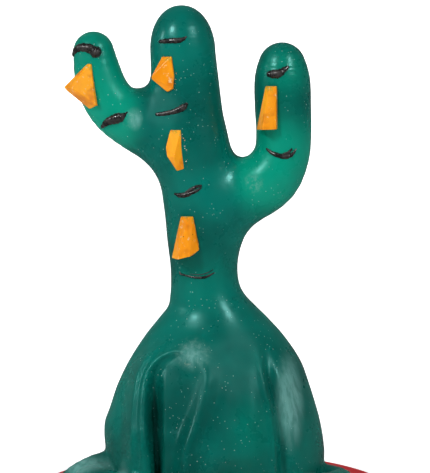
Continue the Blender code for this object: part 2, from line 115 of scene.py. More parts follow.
class Paint(Graph):
    # one procedural material; values that are the same all over go straight on its shader
    def __init__(self, name, **fixed):
        self.material = bpy.data.materials.new(name)
        self.material.use_nodes = True
        super().__init__(self.material.node_tree)
        self.shader = self.nodes["Principled BSDF"]
        for socket, value in fixed.items():
            self.shader.inputs[socket.replace("_", " ")].default_value = value
        self.place = self.add("ShaderNodeTexCoord", {}, {}, "Object")

    def noise(self, scale, detail=3.0, roughness=0.5, place=None):
        return self.add("ShaderNodeTexNoise", {}, {
            "Vector": place or self.place, "Scale": scale, "Detail": detail, "Roughness": roughness}, "Fac")

    def cells(self, scale):
        return self.add("ShaderNodeTexVoronoi", {}, {"Vector": self.place, "Scale": scale}, "Distance")

    def between(self, value, low, high, toLow=0.0, toHigh=1.0):
        return self.add("ShaderNodeMapRange", {"interpolation_type": "SMOOTHSTEP"}, {
            "Value": value, "From Min": low, "From Max": high, "To Min": toLow, "To Max": toHigh})

    def blend(self, share, first, second):
        return self.add("ShaderNodeMix", {"data_type": "RGBA"}, {
            "Factor_Float": share, "A_Color": first, "B_Color": second}, "Result_Color")

    def vector(self, operation, first, second, out="Vector"):
        return self.add("ShaderNodeVectorMath", {"operation": operation}, {0: first, 1: second}, out)

    def near(self, place, inner, outer, share=1.0, stretch=(1, 1, 1)):
        # share within inner millimetres of a place, 0 past outer; stretch makes the patch an ellipsoid
        spot = self.vector("SUBTRACT", self.place, tuple(v * mm for v in place))
        away = self.vector("LENGTH", self.vector("DIVIDE", spot, stretch), (0, 0, 0), "Value")
        return self.between(away, outer * mm, inner * mm, 0.0, share)

    def spots(self, rows):
        # several such patches, added up
        return sum(self.near(*row) for row in rows)

    def grit(self, scale, outer, inner, patchScale, low, high):
        # small round grains that only sit in cloudy patches
        patches = self.between(self.noise(patchScale, 1.0), low, high)
        return self.between(self.cells(scale), outer, inner) * patches

    def apart(self):
        # x, y and z of the surface point, in metres
        return self.add("ShaderNodeSeparateXYZ", {}, {0: self.place}, (0, 1, 2))

    def mapped(self, place=(0, 0, 0), turn=(0, 0, 0), size=(1, 1, 1)):
        return self.add("ShaderNodeMapping", {}, {
            "Vector": self.place, "Location": place, "Rotation": turn, "Scale": size})

    def use(self, **sockets):
        for name, value in sockets.items():
            self.links.new(value.socket, self.shader.inputs[name.replace("_", " ")])

    def bumped(self, height, strength, distance):
        # adds the bump and hands over the finished material
        self.use(Normal=self.add("ShaderNodeBump", {}, {
            "Height": height, "Strength": strength, "Distance": distance}))
        return self.material


class Tree(Graph):
    # a Geometry Nodes tree with named inputs; a whole number, a number or a material each get their own kind
    def __init__(self, name, **inputs):
        self.group = bpy.data.node_groups.new(name, "GeometryNodeTree")
        super().__init__(self.group)
        face = self.group.interface
        face.new_socket("Shape", in_out="INPUT", socket_type="NodeSocketGeometry")
        for label, value in inputs.items():
            kind = {int: "Int", float: "Float"}.get(type(value), "Material")
            face.new_socket(label, in_out="INPUT", socket_type="NodeSocket" + kind)
        face.new_socket("Shape", in_out="OUTPUT", socket_type="NodeSocketGeometry")
        self.source = self.nodes.new("NodeGroupInput")
        self.values = inputs

    def value(self, label):
        return Value(self, self.source.outputs[label])

    def across(self, x=0.0, y=0.0, z=0.0):
        return self.add("ShaderNodeCombineXYZ", {}, {0: x, 1: y, 2: z})

    def scatter(self, low, high, seed):
        # a different vector on each point, always the same for one seed
        return self.add("FunctionNodeRandomValue", {"data_type": "FLOAT_VECTOR"}, {
            "Min": low, "Max": high, "Seed": seed})

    def raised(self, shape, height):
        return self.add("GeometryNodeTransform", {}, {0: shape, "Translation": self.across(z=height)})

    def column(self, count, start, pitch):
        # points straight up the z axis
        line = self.add("GeometryNodeMeshLine", {}, {
            "Count": count, "Start Location": self.across(z=start), "Offset": self.across(z=pitch)})
        return self.add("GeometryNodeMeshToPoints", {}, {0: line})

    def finish(self, shape):
        real = self.add("GeometryNodeRealizeInstances", {}, {0: shape})
        painted = self.add("GeometryNodeSetMaterial", {}, {0: real, "Material": self.value("finish")})
        self.add("NodeGroupOutput", {}, {0: painted}, 0)

    def mesh(self, name, base=None, **changes):
        # runs the tree in millimetres and returns a plain mesh in metres
        holder = bpy.data.objects.new(name, base or bpy.data.meshes.new(name))
        scene.collection.objects.link(holder)
        modifier = holder.modifiers.new("tree", "NODES")
        modifier.node_group = self.group
        for item in self.group.interface.items_tree:
            if item.in_out == "INPUT" and item.name in self.values:
                modifier[item.identifier] = changes.get(item.name, self.values[item.name])
        result = evaluated(holder)
        holder.modifiers.remove(modifier)
        bpy.data.objects.remove(holder)
        result.transform(Matrix.Scale(mm, 4))
        return result


def evaluated(item):
    # a plain mesh of an object with its modifiers applied
    return bpy.data.meshes.new_from_object(item.evaluated_get(bpy.context.evaluated_depsgraph_get()))


def rgb(red, green, blue):
    return (red, green, blue, 1.0)


def addPiece(name, mesh, material, replaced=(), body="figure", sharpAngle=None):
    piece = bpy.data.objects.new(name, mesh)
    scene.collection.objects.link(piece)
    mesh.materials.clear()
    mesh.materials.append(material)
    mesh.shade_smooth()
    if sharpAngle:
        mesh.set_sharp_from_angle(angle=math.radians(sharpAngle))
    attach(piece, body)
    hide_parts(*replaced)
    print(name, len(mesh.polygons), "faces")
    return piece


def meshOf(points, faces, name="shape"):
    mesh = bpy.data.meshes.new(name)
    mesh.from_pydata([tuple(p) for p in points], [], [tuple(f) for f in faces])
    mesh.update()
    return mesh


def outwards(mesh):
    shape = bmesh.new()
    shape.from_mesh(mesh)
    bmesh.ops.recalc_face_normals(shape, faces=shape.faces)
    shape.to_mesh(mesh)
    shape.free()
    return mesh


def lofted(rings, name="loft"):
    # a closed mesh through rings of equal size, in metres
    count = len(rings[0])
    points = np.concatenate(rings) * mm
    faces = []
    for start in range(0, len(points) - count, count):
        for k in range(count):
            after = (k + 1) % count
            faces.append([start + k, start + after, start + count + after, start + count + k])
    faces += [list(range(count))[::-1], [len(points) - count + k for k in range(count)]]
    return outwards(meshOf(points, faces, name))


def lathed(profile, sides):
    # a solid of revolution about the vertical axis from (radius, height) points
    turns = np.arange(sides) * math.tau / sides
    rings = [np.stack([r * np.cos(turns), r * np.sin(turns), 0 * turns + z], 1) for r, z in profile]
    return lofted(rings, "lathe")


def joinedMesh(meshes, name="joined"):
    shape = bmesh.new()
    for mesh in meshes:
        shape.from_mesh(mesh)
    result = bpy.data.meshes.new(name)
    shape.to_mesh(result)
    shape.free()
    return result


def splined(stations, steps):
    # Catmull-Rom points through rows of numbers
    rows = np.array([stations[0], *stations, stations[-1]], float)
    rows[0] = 2 * rows[1] - rows[2]
    rows[-1] = 2 * rows[-2] - rows[-3]
    out = []
    for i in range(1, len(rows) - 2):
        a, b, c, d = rows[i - 1:i + 3]
        for t in np.arange(steps) / steps:
            out.append(0.5 * (2 * b + (c - a) * t + (2 * a - 5 * b + 4 * c - d) * t ** 2
                              + (3 * b - 3 * c + d - a) * t ** 3))
    out.append(rows[-2])
    return np.array(out)


def ease(value, low, high):
    t = np.clip((value - low) / (high - low), 0, 1)
    return t * t * (3 - 2 * t)


def hump(value, centre, width):
    return np.exp(-((value - centre) / width) ** 2)


def merged(a, b, radius):
    # smooth union of two distance fields, with a fillet of about the given radius
    share = np.clip(0.5 + 0.5 * (b - a) / radius, 0, 1)
    return b + (a - b) * share - radius * share * (1 - share)


def nodePoints(name):
    # a CAD node's corners, in millimetres
    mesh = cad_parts[name].data
    points = np.empty(len(mesh.vertices) * 3)
    mesh.vertices.foreach_get("co", points)
    return points.reshape(-1, 3) / mm


casting = {
    # height, centre x, half width, half depth
    "profile": [
        (10, .9, 65.2, 57), (36.4, 1.2, 66.3, 59), (44, .9, 66.3, 58.8), (51, .2, 66.1, 58.2),
        (58.6, -.3, 65.1, 56.9), (66, .1, 62.8, 54.8), (80.8, .3, 58.0, 50.0), (95.5, 1.1, 51.7, 43.8),
        (110.2, .9, 42.1, 34.8), (121.2, .3, 32.9, 27.6), (128.5, -.6, 26.5, 24.0),
        (135.8, -3.3, 22.4, 21.7), (143.1, -4.8, 20.5, 20.5), (153.5, -5.4, 20.2, 20.2),
        (168.6, -5.4, 22.0, 21.6), (183.7, -6.6, 22.2, 22), (200, -9.2, 21.7, 21.7),
        (216.8, -11.5, 21.5, 21.5), (234.7, -13.7, 21.2, 21.2), (249.6, -15.2, 20.5, 20.5),
        (264.5, -16.6, 20.1, 20.1), (281.5, -17.9, 19.4, 19.4), (295, -18.8, 19.2, 19.2)],
    "domeFrom": 281.5, "domeHeight": 27.3, "domePower": 2.1, "domeLean": -0.03,
    # x, y, z, radius
    "leftArm": [
        (-14, 0, 222.5, 17.5), (-28.6, 0, 231.5, 18.8), (-43.5, 0, 239.5, 18.2), (-56.6, 0, 246.6, 15.9),
        (-64.3, 0, 256.5, 14.9), (-68.3, 0, 267.5, 14.1), (-70.9, 0, 281.2, 12.1)],
    "rightArm": [
        (4.2, 0, 190.6, 16.6), (20.5, 0, 196.9, 17.9), (34.0, 0, 206.2, 17.8), (40.9, 0, 219.3, 16.6),
        (42.2, 0, 233, 16.5), (41.7, 0, 247.8, 16.8), (41.3, 0, 261.5, 16.8), (41.1, 0, 268, 15.7),
        (41, 0, 272.8, 14.1)],
    "armFillets": {"leftArm": 14.0, "rightArm": 17.0},
    "leftHand": [(-50, -4, 28, 13), (-64, -8, 27.5, 13.3), (-77, -12, 25.3, 11.0), (-87, -14, 21.6, 8.2)],
    "leftLeg": [(-56, -18, 25, 11.5), (-73, -28, 25, 11.5), (-57, -42, 24.5, 12), (-27, -54, 24, 12),
                (8, -60, 23, 10)],
    "rightLeg": [(50, -4, 22, 12), (66, -8, 21.5, 11.8), (76, -14, 21.5, 10.3), (69, -30, 22, 11),
                 (48, -44, 22.5, 11.5), (22, -57, 22, 9.5)],
    "legFillet": 3.0,
    "floor": 14.1, "mouthHalfWidth": 54.3, "mouthHalfDepth": 44.3, "mouthTop": 35.1,
    "trunkWall": 2.6, "robeWall": 12.5, "wallFrom": 112.0, "wallTo": 135.0,
    "grid": 1.45}


def tableOf(stations, column, steps=12):
    dense = splined(stations, steps)
    return lambda at: np.interp(at, dense[:, 0], dense[:, column])


centreAt, widthAt, depthAt = (tableOf(casting["profile"], k) for k in (1, 2, 3))


def limbField(x, y, z, stations, shrink=0.0):
    # distance to a bent limb whose radius changes along it
    rows = splined(stations, 3)
    field = None
    for a, b in zip(rows, rows[1:]):
        step = b[:3] - a[:3]
        t = ((x - a[0]) * step[0] + (y - a[1]) * step[1] + (z - a[2]) * step[2]) / (step @ step)
        t = np.clip(t, 0, 1)
        radius = a[3] + (b[3] - a[3]) * t - shrink
        piece = np.sqrt((x - a[0] - t * step[0]) ** 2 + (y - a[1] - t * step[1]) ** 2
                        + (z - a[2] - t * step[2]) ** 2) - radius
        field = piece if field is None else np.minimum(field, piece)
    return field


def columnField(x, y, z, wall):
    # distance to the robe and trunk, turned about a leaning axis; wall(z) draws it in
    top = casting["domeFrom"]
    below = np.minimum(z, top)
    above = np.maximum(z - top, 0)
    centre = centreAt(below) + above * casting["domeLean"]
    inset = wall(z)
    halfX, halfY = widthAt(below) - inset, depthAt(below) - inset
    slope = (widthAt(below + 1) - widthAt(below - 1)) / 2
    dx = x - centre
    ratio = np.sqrt((dx / halfX) ** 2 + (y / halfY) ** 2)
    reach = np.sqrt(dx ** 2 + y ** 2) + 1e-6
    ringRadius = reach / (ratio + 1e-6)
    power = casting["domePower"]
    capped = (ratio ** power + (above / (casting["domeHeight"] - inset)) ** power) ** (1 / power)
    return (capped - 1) * ringRadius / np.sqrt(1 + slope ** 2)


folds = {
    # lines down the front of the robe: x and z along each one
    "bandOuter": [(-13.0, 115.4), (-26.0, 113.2), (-36.0, 108.8), (-42.8, 101.6), (-47.2, 92.4),
                  (-50.0, 76.4), (-51.2, 57.9), (-50.8, 38.9), (-50.0, 12)],
    "bandInner": [(-18.0, 107.6), (-27.4, 103.6), (-32.9, 98.4), (-36.2, 92.6), (-38.0, 84.8),
                  (-38.4, 68.5), (-37.2, 50.5), (-36.0, 40.1), (-35, 12)],
    "kneeEdge": [(-24, 101), (-28.8, 94.1), (-30.2, 85.1), (-30.4, 68.3), (-30.2, 51.3), (-30.4, 37.8),
                 (-31, 12)],
    "ridge": [(-2.9, 109.7), (-2.9, 98.8), (-4.6, 87.7), (-8.7, 73.6), (-13.3, 61), (-16.3, 51.1),
              (-18, 38.8), (-19, 12)],
    "rightCrease": [(29.6, 113.2), (32.0, 97.2), (34.2, 85.9), (37.2, 73.2), (39.3, 56), (39.9, 36.6),
                    (40, 12)],
    # heights at which each fold begins and is at its full size
    "fades": {"band": (115, 100), "gap": (99, 66), "panel": (100, 62), "ridge": (106, 90),
              "crease": (114, 84), "sleeve": (110, 88), "lap": (110, 62), "front": (125, 112),
              "back": (116, 84)},
    "bandHeight": 4.4, "beadHeight": 1.10, "gapDepth": 9.6, "panelDepth": 4.4, "ridgeHeight": 3.6,
    "creaseDepth": 2.8, "creaseRidge": 1.9, "sleeveHeight": 1.2, "waveHeight": 0.6, "backWave": 1.1,
    # knee top, tuck under the lap, swell by the left hand: x, half width, z, half height, rise
    "mounds": [(-11.5, 10.0, 105.5, 8.0, 4.6), (13.0, 15.0, 36.0, 9.5, -4.0),
               (-56.0, 6.0, 27.0, 13.0, 2.4)],
    # soft waves over the lap: x at a height, that height, lean, half width, share of the wave height
    "lapWaves": [(5.5, 75, 0.17, 4.2, 1.0), (24.0, 75, 0.0, 4.2, 1.0), (15.5, 78, 0.10, 4.0, -1.1)],
    # folds down the back: x, half width, share; they spread towards the hem
    "backFolds": [(-38, 7, 1), (-24, 5, -1), (-9, 7, 1), (8, 5, -1.2), (23, 7, 1), (39, 5, -1)],
    "hemSpread": 1.25, "drawnIn": 0.0035}


def lineX(name, z):
    # x of a fold line at a height
    dense = splined(folds[name], 8)[::-1]
    return np.interp(z, dense[:, 1], dense[:, 0])


def fall(name, z):
    # 0 above the height where a fold begins, 1 where it is at its full size
    begin, full = folds["fades"][name]
    return ease(-z, -begin, -full)


def frontRelief(x, z):
    # how far the folded front of the robe stands out
    outer, inner, knee = lineX("bandOuter", z), lineX("bandInner", z), lineX("kneeEdge", z)
    ridge, crease = lineX("ridge", z), lineX("rightCrease", z)
    # cloak edge: a double-beaded band that overlaps the knee
    low = fall("band", z)
    across = (x - (outer + inner) / 2) / np.maximum((inner - outer) / 2, 0.5)
    relief = low * folds["bandHeight"] * np.exp(-np.abs(across) ** 3.4 * 0.60)
    relief += low * folds["beadHeight"] * (hump(across, -0.50, 0.26) + hump(across, 0.42, 0.26))
    relief -= low * 0.5 * hump(x - outer, -3.4, 3.0)
    # the deep gap behind the band
    gap, gapHalf = (inner + knee) / 2, np.maximum((knee - inner) / 2, 0.5)
    relief -= fall("gap", z) * folds["gapDepth"] * np.exp(-np.abs((x - gap - 0.5) / (gapHalf * 0.98)) ** 3.2)
    # hollow panel between the knee and the ridge
    panel, panelHalf = (knee + ridge) / 2, np.maximum((ridge - knee) / 2, 1)
    hollow = np.exp(-np.abs((x - panel + 1.0) / (panelHalf * 0.92)) ** 2.4)
    relief -= fall("panel", z) * folds["panelDepth"] * hollow
    # the ridge itself, sharper on its left
    offset = x - ridge
    relief += fall("ridge", z) * folds["ridgeHeight"] * hump(offset, 0, np.where(offset < 0, 4.4, 6.0))
    # crease of the right sleeve, with a thin ridge beside it and the full sleeve past it
    offset = x - crease
    fade = fall("crease", z)
    relief -= fade * folds["creaseDepth"] * hump(offset, 0, np.where(offset < 0, 1.7, 3.4))
    relief += fade * folds["creaseRidge"] * hump(offset, -3.9, 2.0)
    relief += fall("sleeve", z) * folds["sleeveHeight"] * hump(offset, 9.0, 6.0)
    for at, height, lean, width, share in folds["lapWaves"]:
        relief += fall("lap", z) * folds["waveHeight"] * share * hump(x, at + (z - height) * lean, width)
    for centreX, halfWidth, centreZ, halfHeight, rise in folds["mounds"]:
        relief += rise * hump(x, centreX, halfWidth) * hump(z, centreZ, halfHeight)
    return relief * fall("front", z)


def backRelief(x, z):
    # soft hanging folds down the back
    spread = folds["hemSpread"] - z * folds["drawnIn"]
    waves = sum(share * hump(x, at * spread, width) for at, width, share in folds["backFolds"])
    return fall("back", z) * folds["backWave"] * waves


def outerField(x, y, z):
    body = columnField(x, y, z, lambda height: 0.0 * height)
    body = body - frontRelief(x, z) * ease(-y, 4, 22) - backRelief(x, z) * ease(y, 4, 22)
    for name, fillet in casting["armFillets"].items():
        body = merged(body, limbField(x, y, z, casting[name]), fillet)
    for name in ("leftHand", "leftLeg", "rightLeg"):
        body = merged(body, limbField(x, y, z, casting[name]), casting["legFillet"])
    return body


def wallAt(z):
    robe, trunk = casting["robeWall"], casting["trunkWall"]
    return robe + (trunk - robe) * ease(z, casting["wallFrom"], casting["wallTo"])


def hollowField(x, y, z):
    inside = columnField(x, y, z, wallAt)
    halfX, halfY = casting["mouthHalfWidth"], casting["mouthHalfDepth"]
    mouth = (np.sqrt((x / halfX) ** 2 + (y / halfY) ** 2) - 1) * halfY
    inside = np.where(z < casting["mouthTop"], mouth + 0 * z, inside)
    for name in casting["armFillets"]:
        inside = np.minimum(inside, limbField(x, y, z, casting[name], casting["trunkWall"]))
    return inside


def castingField(x, y, z):
    shell = np.maximum(outerField(x, y, z), -hollowField(x, y, z))
    return np.maximum(shell, casting["floor"] - z)


def surfaceNet(field, low, high, step):
    # a quad mesh of the field's zero surface: one point in each grid cell that the surface crosses
    axes = [np.arange(a, b + step, step, dtype=np.float32) for a, b in zip(low, high)]
    x, y, z = np.meshgrid(*axes, indexing="ij", sparse=True)
    values = field(x, y, z).astype(np.float32)
    shape = np.array(values.shape) - 1
    total, count = np.zeros((shape.prod(), 3)), np.zeros(shape.prod())
    crossings = []
    for axis in range(3):
        first = np.take(values, range(shape[axis]), axis)
        second = np.take(values, range(1, shape[axis] + 1), axis)
        at = np.argwhere((first < 0) != (second < 0))
        a, b = first[tuple(at.T)], second[tuple(at.T)]
        point = at.astype(float)
        point[:, axis] += a / (a - b)
        u, v = (axis + 1) % 3, (axis + 2) % 3
        cells = []
        for du, dv in ((0, 0), (-1, 0), (-1, -1), (0, -1)):
            cell = at.copy()
            cell[:, u] += du
            cell[:, v] += dv
            flat = np.ravel_multi_index(tuple(np.clip(cell, 0, shape - 1).T), tuple(shape))
            np.add.at(total, flat, point)
            np.add.at(count, flat, 1)
            cells.append(flat)
        quads = np.stack(cells, 1)
        crossings.append(np.where((a < 0)[:, None], quads, quads[:, ::-1]))
    used = np.flatnonzero(count)
    number = np.full(len(count), -1)
    number[used] = np.arange(len(used))
    points = total[used] / count[used, None] * step + np.array(low)
    return points, number[np.concatenate(crossings)]


def gradient(field, points, reach=0.25):
    columns = []
    for axis in range(3):
        ahead, behind = points.copy(), points.copy()
        ahead[:, axis] += reach
        behind[:, axis] -= reach
        columns.append((field(*ahead.T) - field(*behind.T)) / (2 * reach))
    return np.stack(columns, 1)


def settle(field, points, rounds=3, limit=0.8):
    # moves points onto the zero surface
    for _ in range(rounds):
        slope = gradient(field, points)
        length = np.maximum((slope ** 2).sum(1), 0.05)
        move = slope * (field(*points.T) / length)[:, None]
        size = np.linalg.norm(move, axis=1, keepdims=True)
        points = points - move * np.minimum(1, limit / np.maximum(size, 1e-6))
    return points


def frontPoints(x, z, start=-80.0):
    # the points of the casting straight behind each x and z, seen from the front, and the normals there
    x, z = np.asarray(x, float), np.asarray(z, float)
    depths = np.arange(start, 2.0, 0.5)
    inside = outerField(x[:, None], depths[None, :], z[:, None]) < 0
    depth = np.where(inside.any(1), depths[inside.argmax(1)], 0.0)
    points = settle(outerField, np.stack([x, depth, z], 1), 5, 2.0)
    normals = gradient(outerField, points)
    return points, normals / np.linalg.norm(normals, axis=1, keepdims=True)


def waxGreen():
    look = {
        "deep": rgb(0.0, 0.084, 0.067), "body": rgb(0.0, 0.165, 0.128), "thin": rgb(0.0, 0.320, 0.205),
        "dust": rgb(0.38, 0.66, 0.57), "scuff": rgb(0.20, 0.40, 0.35), "paintedSheen": rgb(0.17, 0.42, 0.385),
        "chip": rgb(0.72, 0.70, 0.50), "roughness": (0.24, 0.40),
        # patches: place, inner and outer reach, share, stretch
        # painted shade on the middle of the trunk, and a real chip on the knee
        "paintedShade": (-8, -21, 245), "chipped": (-17, -47, 101),
        # painted light: paler green where light glows through the thin casting
        "paintedGlow": [((40, 0, 222), 6, 34, 1.0, (1.0, 1.6, 1.2)), ((27, -8, 202), 5, 28),
                    ((42, -10, 270), 4, 28, 0.6), ((22, -46, 58), 4, 34, 0.35, (0.8, 1, 1.2)),
                    ((-6, -22, 148), 6, 30, 0.25)],
        "rubbed": [((-12.5, -40, 107), 4, 13, 1.0, (1.1, 1.4, 0.9)), ((-47.5, -17, 242.0), 2, 8),
                   ((7.5, -20, 215), 1.5, 6), ((46, -28, 112), 2, 9, 1.0, (0.7, 1.4, 1.0)),
                   ((24, -16, 204), 2, 8)],
        # painted highlights and reflections, pale and streaked
        "sheenPatches": [((46, -37, 79), 10, 32, 1.0, (0.34, 1.2, 1.15)),
                    ((-46, -17, 242.5), 1, 7, 0.9, (0.8, 1.5, 1.2)),
                    ((-12, -42, 107), 2, 13, 0.7), ((-76, -22, 34), 6, 18, 1.0, (1.2, 1.2, 0.5)),
                    ((-53, -46, 30), 3, 9, 0.8, (0.5, 3.0, 1.8))],
        "dulled": [((12, -42, 101), 6, 26, 1.0, (1.1, 1.2, 0.8)), ((-28, -17, 249), 4, 14)]}
    paint = Paint("wax_green", Subsurface_Weight=0.12, Subsurface_Scale=0.005,
                  Subsurface_Radius=(0.2, 1.0, 0.75), Specular_IOR_Level=0.36,
                  Specular_Tint=rgb(0.40, 1.0, 0.96))
    x, y, z = paint.apart()
    base = paint.blend(paint.between(paint.noise(17.0, 4.0), 0.34, 0.66), look["deep"], look["body"])
    # painted shade: the middle of the trunk is darkened towards the deep green
    base = paint.blend(paint.near(look["paintedShade"], 8, 30, 0.6, (1.0, 1.2, 1.4)), base, look["deep"])
    # painted light: paler green painted for light glowing through the thinner casting where the arms leave
    # the trunk, and a little over the lap
    leftArm = paint.between(x, -0.034, -0.056) * paint.between(z, 0.212, 0.234) \
        * paint.between(z, 0.250, 0.285, 1.0, 0.62)
    paintedGlow = leftArm + paint.spots(look["paintedGlow"])
    base = paint.blend(paint.between(paintedGlow, 0.0, 1.1, 0.0, 0.85), base, look["thin"])
    # dust that stuck in the finish, some grains larger than others
    dust = paint.between(paint.grit(400.0, 0.13, 0.08, 75.0, 0.45, 0.51)
                         + paint.grit(62.0, 0.050, 0.034, 31.0, 0.54, 0.60), 0.0, 1.0)
    base = paint.blend(dust * 0.65, base, look["dust"])
    # rubbed patches: on the knee, at the neck of the left arm, on both shoulders
    rub = paint.between(paint.noise(420.0, 5.0, 0.7), 0.46, 0.64)
    patches = paint.spots(look["rubbed"])
    scuff = patches * rub
    base = paint.blend(scuff * 0.35, base, look["scuff"])
    base = paint.blend(paint.near(look["chipped"], 0.6, 3.4, 1.0, (1.8, 2.5, 0.5)) * rub, base, look["chip"])
    # painted highlight: a pale, streaked sheen painted on the fullest part of the right sleeve, the knee and
    # the left hand, in place of reflections
    drag = paint.noise(60.0, 4.0, 0.6, paint.mapped(turn=(0, 0.12, 0), size=(5.0, 5.0, 0.6)))
    paintedSheen = paint.spots(look["sheenPatches"]) * paint.between(drag, 0.30, 0.62, 0.45, 1.0)
    base = paint.blend(paintedSheen * 0.75, base, look["paintedSheen"])
    # hair scratches in two directions
    thin = paint.noise(26.0, 2.0, 0.5, paint.mapped(turn=(0.3, 0.5, 0.2), size=(1.0, 1.0, 34.0)))
    other = paint.noise(24.0, 2.0, 0.5, paint.mapped((3, 1, 0), (0.2, -0.7, 0.9), (32.0, 1.0, 1.0)))
    hairs = paint.between(thin, 0.70, 0.73) + paint.between(other, 0.71, 0.74)
    smear = paint.noise(48.0, 5.0, 0.62)
    roughness = paint.between(smear, 0.32, 0.70, *look["roughness"]) + dust * 0.4 + patches * 0.16 \
        + scuff * 0.12 + paintedSheen * 0.15 + paint.spots(look["dulled"]) * 0.26
    paint.use(Base_Color=base, Roughness=roughness)
    # fine level ripples up the trunk, a fine orange peel all over
    ripples = paint.noise(70.0, 2.0, 0.5, paint.mapped(turn=(0, 0.1, 0), size=(0.12, 0.12, 6.0)))
    trunk = paint.between(z, 0.225, 0.255) * paint.between(x, -0.026, -0.006)
    peel = paint.noise(420.0, 2.0)
    height = smear * 0.9 + peel * 0.10 + ripples * trunk * 2.0 - hairs * 0.10 + dust * 0.5 - scuff * 0.25
    return paint.bumped(height, 0.28, 0.0006)


def makeCasting():
    low, high = (-106, -82, 11), (94, 66, 313)
    points, quads = surfaceNet(castingField, low, high, casting["grid"])
    points = settle(castingField, points)
    mesh = outwards(meshOf(points * mm, quads, "cactus_casting"))
    addPiece("cactus_casting", mesh, waxGreen(), ("cactus_body",))


noses = {
    # x of the limb's axis behind each nose, then the corners of its visible wedge
    "nose_left_arm": (-67.0, [
        (-74.1, -13.6, 274.6), (-71.7, -14.2, 274.6), (-87.9, -13.0, 260.9), (-83.0, -22.5, 261.0),
        (-86.0, -12.5, 258.6), (-72.6, -8.5, 247.3), (-67.3, -11.0, 249.4), (-69.2, -18.5, 251.8)]),
    "nose_trunk_top": (-16.9, [
        (-29.9, -16.4, 279.0), (-24.5, -19.6, 279.1), (-36.1, -20.0, 267.5), (-36.0, -19.6, 265.9),
        (-27.1, -19.0, 258.5), (-23.5, -20.1, 260.3), (-23.0, -20.3, 267.5)]),
    "nose_trunk_middle": (-12.5, [
        (-25.2, -22.0, 236.3), (-19.0, -23.0, 236.3), (-27.7, -23.0, 226.3), (-27.1, -22.5, 221.1),
        (-21.3, -21.0, 212.1), (-16.8, -22.0, 213.3), (-17.9, -22.2, 224.6), (-22.8, -27.0, 220.9)]),
    "nose_trunk_lower": (-6.0, [
        (-19.1, -19.8, 185.0), (-11.9, -23.0, 185.4), (-15.6, -24.2, 184.6), (-24.5, -17.0, 159.9),
        (-20.8, -28.0, 160.4), (-13.5, -28.5, 162.4), (-8.4, -23.5, 165.5)]),
    "nose_right_arm": (41.7, [
        (30.8, -14.8, 261.6), (33.2, -19.2, 261.7), (37.2, -18.2, 261.7), (25.7, -12.0, 235.8),
        (28.8, -23.0, 236.4), (36.9, -20.0, 236.4), (38.1, -18.5, 246.1)])}


def noseOrange():
    look = {
        "body": rgb(0.86, 0.275, 0.001), "pale": rgb(1.0, 0.395, 0.003), "dark": rgb(0.62, 0.140, 0.001),
        "moss": rgb(0.42, 0.33, 0.02), "chalk": rgb(0.85, 0.74, 0.45), "speck": rgb(0.05, 0.02, 0.01),
        "roughness": (0.30, 0.55)}
    paint = Paint("nose_orange", Subsurface_Weight=0.12, Subsurface_Scale=0.003,
                  Subsurface_Radius=(1.0, 0.35, 0.1), Specular_IOR_Level=0.30)
    cut = paint.noise(70.0, 4.0, 0.6, paint.mapped(size=(1.0, 1.0, 0.35)))
    base = paint.blend(paint.between(cut, 0.35, 0.65), look["body"], look["pale"])
    # darker clouds, and painted shade on the cut under the left arm's nose
    dark = paint.between(paint.noise(120.0, 2.0), 0.55, 0.75) * 0.6 \
        + paint.near((-79.5, -13, 253.5), 3, 9, 0.6, (1.4, 1.4, 0.8))
    base = paint.blend(dark, base, look["dark"])
    powder = paint.noise(520.0, 3.0, 0.7)
    tops = paint.spots([(corners[1], 1.0, 5.5, 1.0, (1.6, 1.6, 0.9)) for _, corners in noses.values()])
    base = paint.blend(tops * paint.between(powder, 0.42, 0.58) * 0.75, base, look["moss"])
    rubbed = paint.between(paint.noise(260.0, 4.0, 0.65), 0.60, 0.68)
    base = paint.blend(rubbed * 0.55, base, look["chalk"])
    base = paint.blend(paint.grit(330.0, 0.11, 0.07, 90.0, 0.60, 0.66), base, look["speck"])
    paint.use(Base_Color=base, Roughness=paint.between(cut, 0.3, 0.7, *look["roughness"]) + rubbed * 0.2)
    return paint.bumped(cut * 0.8 + powder * 0.25, 0.30, 0.0005)


def makeNoses(finish, rootShare=0.5, edge=0.42):
    # hand-cut wedges: the convex solid round the corners and a root that narrows towards the limb's axis
    for name, (axisX, corners) in noses.items():
        corners = [Vector(corner) for corner in corners]
        roots = [corner.lerp(Vector((axisX, 0, corner.z)), rootShare) for corner in corners]
        shape = bmesh.new()
        for point in corners + roots:
            shape.verts.new(point * mm)
        hull = bmesh.ops.convex_hull(shape, input=shape.verts)
        inside = [item for item in hull["geom_interior"] if isinstance(item, bmesh.types.BMVert)]
        bmesh.ops.delete(shape, geom=inside, context="VERTS")
        bmesh.ops.dissolve_limit(shape, angle_limit=math.radians(7), verts=shape.verts, edges=shape.edges)
        bmesh.ops.recalc_face_normals(shape, faces=shape.faces)
        mesh = bpy.data.meshes.new(name)
        shape.to_mesh(mesh)
        shape.free()
        piece = addPiece(name + "_wedge", mesh, finish, (name,))
        bevel = piece.modifiers.new("worn edges", "BEVEL")
        bevel.width = edge * mm
        bevel.segments = 3
        bevel.limit_method = "ANGLE"
        bevel.angle_limit = math.radians(12)
        piece.modifiers.new("flat faces", "WEIGHTED_NORMAL")


